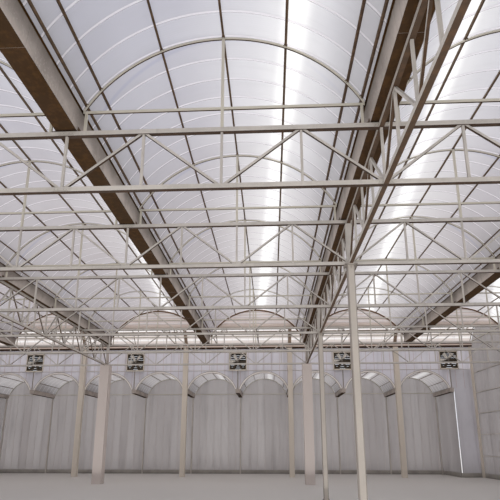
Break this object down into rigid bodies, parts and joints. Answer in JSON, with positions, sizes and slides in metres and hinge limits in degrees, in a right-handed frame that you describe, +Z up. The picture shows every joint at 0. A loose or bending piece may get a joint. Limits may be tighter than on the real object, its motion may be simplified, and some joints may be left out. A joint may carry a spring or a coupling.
{
  "type": "multi-span polycarbonate greenhouse",
  "caption": "Multi-span arched greenhouse in translucent sheet on lattice trusses, with a cross corridor, a partition with exhaust fans and a lower vaulted section.",
  "frame": {"origin": "middle of the plan at floor level", "axes": "+Y from the front gable towards the low section, +X to the right of someone looking that way, +Z up"},
  "size_m": [39, 39.86, 11.4313],
  "materials": {
    "galvanised_frame": "dull galvanised steel, pale warm grey",
    "arch_tube": "dull galvanised tube",
    "purlin_tube": "dull galvanised tube",
    "roof_sheet": "translucent multiwall polycarbonate, faint blue grey",
    "wall_sheet": "translucent multiwall polycarbonate",
    "gutter_steel": "folded galvanised sheet, weathered",
    "painted_column": "pale grey painted steel",
    "arch_trim": "pale folded sheet trim",
    "kerb_concrete": "plain cast concrete",
    "fan_casing": "galvanised casing",
    "fan_blades": "pressed metal blades"
  },
  "bodies": {
    "root": {"back_wall_sheet": "wall_sheet", "corridor_arches": "arch_tube", "corridor_roof_sheet": "roof_sheet", "end_row_columns": "painted_column", "fan_housings": "fan_casing", "front_door_leaves": "wall_sheet", "front_door_track": "galvanised_frame", "front_rails": "galvanised_frame", "front_wall_sheet": "wall_sheet", "gable_posts": "galvanised_frame", "gutter_girders": "galvanised_frame", "hall_columns": "painted_column", "kerb": "kerb_concrete", "left_arches": "arch_tube", "left_roof_sheets": "roof_sheet", "low_arches": "arch_tube", "low_gutters": "gutter_steel", "low_purlins": "purlin_tube", "low_roof_sheets": "roof_sheet", "low_side_sheets": "wall_sheet", "middle_arches": "arch_tube", "middle_roof_sheets": "roof_sheet", "partition_arch_trims": "arch_trim", "partition_columns": "painted_column", "partition_posts": "galvanised_frame", "partition_rails": "galvanised_frame", "partition_sheets": "wall_sheet", "partition_spandrels": "wall_sheet", "right_arches": "arch_tube", "right_roof_sheets": "roof_sheet", "side_wall_columns": "painted_column", "side_wall_rails": "galvanised_frame", "side_wall_sheets": "wall_sheet", "tall_roof_gutters": "gutter_steel", "tall_roof_purlins": "purlin_tube", "truss_pair_1": "galvanised_frame", "truss_pair_2": "galvanised_frame", "truss_pair_3": "galvanised_frame", "truss_pair_4": "galvanised_frame", "vault_end_sheets": "wall_sheet"},
    "fan_rotor_1_body": {"fan_rotor_1": "fan_blades"},
    "fan_rotor_2_body": {"fan_rotor_2": "fan_blades"},
    "fan_rotor_3_body": {"fan_rotor_3": "fan_blades"},
    "fan_rotor_4_body": {"fan_rotor_4": "fan_blades"},
    "fan_rotor_5_body": {"fan_rotor_5": "fan_blades"}
  },
  "joints": [
    {"name": "fan_1_spin", "type": "hinge", "parent": "root", "child": "fan_rotor_1_body", "pos_m": [-14.4, 16.175, 8.5206], "axis": [0, 1, 0], "continuous": true},
    {"name": "fan_2_spin", "type": "hinge", "parent": "root", "child": "fan_rotor_2_body", "pos_m": [-6.4, 16.175, 8.5206], "axis": [0, 1, 0], "continuous": true},
    {"name": "fan_3_spin", "type": "hinge", "parent": "root", "child": "fan_rotor_3_body", "pos_m": [1.6, 16.175, 8.5206], "axis": [0, 1, 0], "continuous": true},
    {"name": "fan_4_spin", "type": "hinge", "parent": "root", "child": "fan_rotor_4_body", "pos_m": [9.6, 16.175, 8.5206], "axis": [0, 1, 0], "continuous": true},
    {"name": "fan_5_spin", "type": "hinge", "parent": "root", "child": "fan_rotor_5_body", "pos_m": [17.6, 16.175, 8.5206], "axis": [0, 1, 0], "continuous": true}
  ]
}
